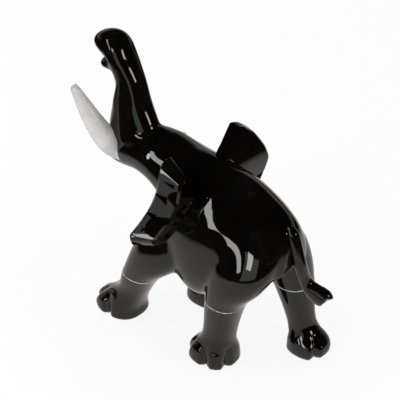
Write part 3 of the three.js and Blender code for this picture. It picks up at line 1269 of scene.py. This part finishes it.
@dataclass(frozen=True)
class Ear:
    """One glued-on ear: a slab whose back edge is cut away, with folds ground across the cut."""

    side: Side
    sizes: EarSizes
    face_rings: int = 16
    crown_rings: int = 6
    chamfer_rings: int = 14
    outline_points: int = 240
    face_inset: float = 1.6
    crown_draw: float = 0.6
    middle_out: float = 0.42
    middle_up: float = 0.06

    def _outline(self, count: int) -> np.ndarray:
        """Works out the ear's outline in its own plane.

        Args:
            count: Number of points round it.

        Returns:
            The points, as out and up in millimetres.
        """
        s = self.sizes
        points = np.array([(out * s.span, up * s.height) for out, up in s.marks])
        spans = len(points)
        place = np.arange(count) / count * spans
        first = place.astype(int)
        t = (place - first)[:, None]
        p0, p1, p2, p3 = (points[(first + k) % spans] for k in (-1, 0, 1, 2))
        m1, m2 = 0.25 * (p2 - p0), 0.25 * (p3 - p1)
        return ((2 * t**3 - 3 * t**2 + 1) * p1 + (t**3 - 2 * t**2 + t) * m1
                + (3 * t**2 - 2 * t**3) * p2 + (t**3 - t**2) * m2)

    def _middle(self) -> np.ndarray:
        """The middle that the outline is drawn in towards."""
        return np.array([self.sizes.span * self.middle_out, self.sizes.height * self.middle_up])

    def _rim(self, inset: float, lift: float, fill: float = 1.0) -> np.ndarray:
        """The outline drawn in by a distance, then shrunk to a share, at one lift.

        Args:
            inset: How far it is drawn in.
            lift: How far it stands in front of the slab's middle.
            fill: The share of its size that is left.

        Returns:
            Its points, as out, up and lift.
        """
        outline = self._outline(self.outline_points)
        inward = self._middle() - outline
        length = np.linalg.norm(inward, axis=1, keepdims=True)
        flat = outline + inward / length * np.minimum(inset, length * 0.6)
        flat = self._middle() + (flat - self._middle()) * fill
        return np.column_stack([flat, np.full(len(flat), lift)])

    def _place(self, leaf: np.ndarray) -> np.ndarray:
        """Sets points of the ear into the plan.

        Args:
            leaf: The points, as out, up and lift.

        Returns:
            The points in the plan, in millimetres.
        """
        s = self.sizes
        bow = s.curl * np.maximum(0, 1 - ((leaf[..., 1] / s.height - 0.25) / 0.42) ** 2)
        outward = np.array([s.span, s.sweep, 0.0])
        outward /= np.linalg.norm(outward)
        facing = np.cross(outward, np.array([0.0, -s.lean, s.height]))
        facing /= np.linalg.norm(facing)
        level = np.cross(facing, outward)
        root = np.array([s.root_inset, s.back, s.root_up])
        points = (leaf[..., :1] * outward + leaf[..., 1:2] * level
                  + (leaf[..., 2:] - bow[..., None]) * facing + root)
        return points * np.array([self.side.value, 1.0, 1.0])

    def _folds(self) -> list[Shell]:
        """Shapes what the wheel ground away across the cut-away edge.

        Returns:
            One wedge for each fold.
        """
        s = self.sizes
        cutters = []
        for start, end, width, deep in s.folds:
            steps = np.linspace(0, 1, 20)[:, None]
            line = np.array(start) * (1 - steps) + np.array(end) * steps
            across = np.array([start[1] - end[1], end[0] - start[0]], float)
            across /= np.linalg.norm(across)
            bite = np.sin(np.pi * (0.1 + 0.86 * steps)) ** 0.7
            level = s.thickness * (0.5 - steps)
            upper = np.hstack([line + across * width * 0.8 * bite, level - 3])
            deepest = np.hstack([line, level + deep * bite])
            lower = np.hstack([line - across * width * 0.2 * bite, level - 3])
            cutters.append(Shell.rings(self._place(np.stack([upper, deepest, lower], axis=1))))
        return cutters

    def build(self, shop: Workshop, base: bpy.types.Object) -> bpy.types.Object:
        """Carves the ear.

        Args:
            shop: The workshop.
            base: The carved block that it is glued to.

        Returns:
            The rough object, in millimetres.
        """
        s = self.sizes
        half = s.thickness / 2
        fills = np.linspace(0.04, 1, self.face_rings)
        rings = [self._rim(s.chamfer * self.face_inset, -half - s.crown, fill) for fill in fills]
        for share in np.linspace(1 / self.crown_rings, 1, self.crown_rings):
            inset = s.chamfer * (self.face_inset - self.crown_draw * share)
            rings.append(self._rim(inset, -half - s.crown * (1 - share)))
        for share in np.linspace(1 / self.chamfer_rings, 1, self.chamfer_rings):
            rings.append(self._rim(s.chamfer * (1 - share), -half + (s.thickness - s.bevel) * share))
        for share in (0.33, 0.67, 1):
            rings.append(self._rim(s.bevel * share, half - s.bevel * (1 - share)))
        rings += [self._rim(s.bevel, half, fill) for fill in fills[-2::-1]]
        grid = self._place(np.array(rings))[::-1]
        if self.side is Side.RIGHT:
            grid = grid[:, ::-1]
        rough = shop.rough("ear", Shell.rings(grid))
        for fold in self._folds():
            rough = shop.cut(rough, fold)
        return shop.seat(rough, base)

    def dress(self, shop: Workshop, rough: bpy.types.Object, stone: bpy.types.Material) -> None:
        """Polishes the ear and sets it in its place.

        Args:
            shop: The workshop.
            rough: The rough ear.
            stone: The stone's material.
        """
        name = f"ear_{self.side.word}"
        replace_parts(shop.finish(rough, f"carved_{name}", stone), name)


@dataclass
class Tusk:
    """One curved tusk, glued in its drilled socket."""

    side: Side
    head: HeadSizes
    sizes: TuskSizes = field(default_factory=TuskSizes)
    rings: int = 90
    sides: int = 56

    def build(self, shop: Workshop) -> bpy.types.Object:
        """Turns the tusk.

        Args:
            shop: The workshop.

        Returns:
            The rough object, in millimetres.
        """
        shape = self.sizes.form(self.head, self.side)
        return shop.rough("tusk", shape.shell(self.rings, self.sides))

    def dress(self, shop: Workshop, rough: bpy.types.Object, crystal: bpy.types.Material) -> None:
        """Polishes the tusk and sets it in its place.

        Args:
            shop: The workshop.
            rough: The rough tusk.
            crystal: The crystal's material.
        """
        name = f"tusk_{self.side.word}"
        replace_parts(shop.finish(rough, f"turned_{name}", crystal), name)


@dataclass
class Tail:
    """The tail, glued along the rump, with its tuft standing off."""

    torso: TorsoSizes
    sizes: TailSizes = field(default_factory=TailSizes)
    rings: int = 120
    sides: int = 48

    def build(self, shop: Workshop, base: bpy.types.Object) -> bpy.types.Object:
        """Carves the tail.

        Args:
            shop: The workshop.
            base: The carved block that it is glued to.

        Returns:
            The rough object, in millimetres.
        """
        shape = self.sizes.form(self.torso)
        return shop.seat(shop.rough("tail", shape.shell(self.rings, self.sides)), base)

    def dress(self, shop: Workshop, rough: bpy.types.Object, stone: bpy.types.Material) -> None:
        """Polishes the tail and sets it in its place.

        Args:
            shop: The workshop.
            rough: The rough tail.
            stone: The stone's material.
        """
        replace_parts(shop.finish(rough, "carved_tail", stone), "tail")


@dataclass(frozen=True)
class SoftBox:
    """One soft light: where it hangs, its width and height in metres, its power in watts.

    The azimuth runs from the elephant's front towards its left, and the elevation from the
    horizon. Lean is how far its top leans towards the elephant's front. Angles are in
    degrees.
    """

    name: str
    azimuth: float
    elevation: float
    distance: float
    size: tuple
    power: float
    lean: float = 0


SOFTBOXES = (
    SoftBox("leaning_strip", 63, 28, 0.9, (0.12, 0.94), 2.3, 30),
    SoftBox("side", 96, 15, 0.9, (0.2, 0.18), 0.9),
    SoftBox("rear_low", 196, 17, 0.9, (0.18, 0.18), 0.8),
    SoftBox("grey_card", 106, 5, 0.4, (0.28, 0.2), 0.14),
)


@dataclass
class Studio:
    """The floor, the soft lights and the camera; lengths are in metres.

    Mirrored in the stone, the pale sweep fades out at sweep_front before the sculpture and
    at sweep_side beside it.
    """

    azimuth: float = 131.0
    elevation: float = 35.0
    distance: float = 0.8
    lens: float = 192.0
    aim_height: float = 0.05
    aim_right: float = 0.00356
    aim_up: float = 0.00322
    floor_size: float = 6.0
    sweep_front: float = 0.12
    sweep_side: float = 0.12
    sweep_fade: float = 0.06
    far_side_fade: float = 0.05
    sweep_mirrored: float = 0.72
    dark_mirrored: float = 0.02
    sweep_shaded: float = 0.12
    sweep_grey: tuple = (0.9, 0.9, 0.9, 1)
    sweep_tint: tuple = (1.0, 0.93, 0.915, 1)
    band_sides: tuple = (0.15, 0.6)
    band_heights: tuple = (0.08, 0.42)
    band_mirrored: float = 0.55
    room_mirrored: float = 0.012

    def direction(self, azimuth: float, elevation: float) -> Vector:
        """The unit vector towards an azimuth and an elevation, in degrees."""
        a, e = math.radians(azimuth), math.radians(elevation)
        return Vector((math.sin(a) * math.cos(e), -math.cos(a) * math.cos(e), math.sin(e)))

    def camera(self, shift: np.ndarray) -> None:
        """Sets up the camera.

        Args:
            shift: How far the plan's origin lies from the frame's, in millimetres.
        """
        back = self.direction(self.azimuth, self.elevation)
        turn = back.to_track_quat("Z", "Y")
        right, up = turn @ Vector((1, 0, 0)), turn @ Vector((0, 1, 0))
        aim = Vector(shift) * MM + Vector((0, 0, self.aim_height)) + right * self.aim_right + up * self.aim_up
        data = bpy.data.cameras.new("camera")
        data.sensor_width = 36
        data.lens = self.lens
        data.clip_start = 0.01
        camera = bpy.data.objects.new("camera", data)
        camera.location = aim + back * self.distance
        camera.rotation_euler = turn.to_euler()
        bpy.context.scene.collection.objects.link(camera)
        bpy.context.scene.camera = camera

    def hang(self, box: SoftBox) -> None:
        """Hangs one soft light.

        Args:
            box: The light's place, size and power.
        """
        data = bpy.data.lights.new(box.name, "AREA")
        data.shape = "RECTANGLE"
        data.size, data.size_y = box.size
        data.energy = box.power
        light = bpy.data.objects.new(box.name, data)
        towards = self.direction(box.azimuth, box.elevation)
        light.location = towards * box.distance + Vector((0, 0, self.aim_height))
        turn = towards.to_track_quat("Z", "Y") @ Quaternion((0, 0, 1), math.radians(box.lean))
        light.rotation_euler = turn.to_euler()
        light.visible_camera = False
        bpy.context.scene.collection.objects.link(light)

    def floor(self) -> None:
        """Lays the pale sweep that the sculpture stands on.

        Mirrored in the stone, the sweep runs far behind the sculpture, and ends a hand's
        width in front of it and to its sides, where the room is dark.
        """
        size = self.floor_size
        mesh = bpy.data.meshes.new("floor")
        mesh.from_pydata([(-size, -size, 0), (size, -size, 0), (size, size, 0), (-size, size, 0)],
                         [], [(0, 1, 2, 3)])
        floor = bpy.data.objects.new("floor", mesh)
        bpy.context.scene.collection.objects.link(floor)
        tree = Tree(bpy.data.materials.new("pale_sweep"))
        seen = tree.node("MixShader", {0: self.sweep_shaded, 1: tree.node("Emission", {"Strength": 1.0}),
                                       2: tree.node("BsdfDiffuse", {"Color": self.sweep_grey})})
        front = self.direction(self.azimuth, 0)
        place = tree.node("TexCoord").outputs["Object"]
        ahead = tree.node("VectorMath", {0: place, 1: front}, operation="DOT_PRODUCT").outputs["Value"]
        aside = tree.node("VectorMath", {0: place, 1: (-front.y, front.x, 0)},
                          operation="DOT_PRODUCT").outputs["Value"]
        near = tree.fade(ahead, self.sweep_front, self.sweep_front + self.sweep_fade, 1.0, 0.0)
        left = tree.fade(aside, -self.sweep_side - self.sweep_fade, -self.sweep_side, 0.0, 1.0)
        right = tree.fade(aside, self.sweep_side, self.sweep_side + self.far_side_fade, 1.0, 0.0)
        inside = tree.node("Math", {0: left, 1: right}, operation="MULTIPLY")
        level = tree.node("Math", {0: near, 1: inside}, operation="MULTIPLY")
        level = tree.node("Math", {0: level, 1: self.sweep_mirrored, 2: self.dark_mirrored},
                          operation="MULTIPLY_ADD")
        mirrored = tree.node("Emission", {"Color": self.sweep_tint, "Strength": level})
        glossy = tree.node("LightPath").outputs["Is Glossy Ray"]
        tree.surface(tree.node("MixShader", {0: glossy, 1: seen, 2: mirrored}))
        mesh.materials.append(tree.owner)

    def sky(self) -> None:
        """Makes the room pale where it is seen, and dark where it is mirrored.

        The sweep rises behind the sculpture, so a pale band is mirrored from there.
        """
        world = bpy.data.worlds.new("room")
        bpy.context.scene.world = world
        tree = Tree(world)
        ray = tree.node("TexCoord").outputs["Generated"]
        behind = -self.direction(self.azimuth, 0)
        towards = tree.node("VectorMath", {0: ray, 1: behind}, operation="DOT_PRODUCT").outputs["Value"]
        height = tree.node("SeparateXYZ", {0: ray}).outputs["Z"]
        band = tree.fade(towards, *self.band_sides, 0.0, 1.0)
        low = tree.fade(height, *self.band_heights, 1.0, 0.0)
        level = tree.node("Math", {0: band, 1: low}, operation="MULTIPLY")
        level = tree.node("Math", {0: level, 1: self.band_mirrored, 2: self.room_mirrored},
                          operation="MULTIPLY_ADD")
        glossy = tree.node("LightPath").outputs["Is Glossy Ray"]
        strength = tree.mix(glossy, 1.0, level)
        tree.surface(tree.node("Background", {"Strength": strength}))

    def build(self, shift: np.ndarray) -> None:
        """Sets everything up.

        Args:
            shift: How far the plan's origin lies from the frame's, in millimetres.
        """
        self.sky()
        self.floor()
        self.camera(shift)
        for box in SOFTBOXES:
            self.hang(box)
        bpy.context.scene.view_settings.view_transform = "Standard"


@dataclass
class EyeBead:
    """One eye, an oval bead with a low dome set into the head."""

    side: Side
    sizes: EyeSizes = field(default_factory=EyeSizes)
    long_share: float = 0.8
    tall_share: float = 1.12
    dome_share: float = 0.9
    bottom: float = -0.92
    rings: int = 24
    sides: int = 40

    def build(self, shop: Workshop) -> bpy.types.Object:
        """Turns the bead and presses it into the head.

        Args:
            shop: The workshop.

        Returns:
            The rough object, in millimetres.
        """
        middle = self.sizes.place(HeadSizes(), self.side)
        radius = self.sizes.diameter / 2
        angle = self.sizes.turn
        out = np.array([self.side.value * math.cos(angle), 0.0, math.sin(angle)])
        tall = np.cross(out, FORWARD)
        heights = np.linspace(self.bottom, 1, self.rings)
        rings = []
        for height in heights:
            girth = math.sqrt(max(1 - height**2, 0.0004)) * radius
            turns = np.arange(self.sides) / self.sides * math.tau
            oval = (np.outer(np.cos(turns), FORWARD) * self.long_share
                    + np.outer(np.sin(turns), tall) * self.tall_share) * girth
            rings.append(middle + out * height * radius * self.dome_share + oval)
        grid = np.array(rings)
        if np.dot(np.cross(FORWARD, tall), out) < 0:
            grid = grid[:, ::-1]
        return shop.rough("bead", Shell.rings(grid))

    def dress(self, shop: Workshop, rough: bpy.types.Object, glass: bpy.types.Material) -> None:
        """Polishes the bead and sets it in its place.

        Args:
            shop: The workshop.
            rough: The rough bead.
            glass: The bead's material.
        """
        word = self.side.word
        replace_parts(shop.finish(rough, f"eye_bead_{word}", glass), f"eye_{word}")


def main() -> None:
    """Builds the studio and then every piece of the sculpture."""
    logging.basicConfig(level=logging.INFO, format="%(message)s")
    shop = Workshop()
    Studio().build(shop.shift)
    effects = Effects(clouds_group(), polish_group(), edge_group())
    stone = BlackStone().material(effects)
    crystal = TuskCrystal().material(effects)
    bead = BeadGlass().material(effects)
    glue = Glue().material(effects)
    block = CarvedBlock()
    base = block.build(shop)
    for leg in LEGS:
        lower_leg = LowerLeg(leg)
        lower_leg.dress(shop, lower_leg.build(shop), stone, glue)
    for side in Side:
        ear = Ear(side, EARS[side])
        ear.dress(shop, ear.build(shop, base), stone)
        tusk = Tusk(side, block.head)
        tusk.dress(shop, tusk.build(shop), crystal)
        eye = EyeBead(side)
        eye.dress(shop, eye.build(shop), bead)
    tail = Tail(block.torso)
    tail.dress(shop, tail.build(shop, base), stone)
    block.dress(shop, base, stone)


if __name__ == "__main__":
    main()
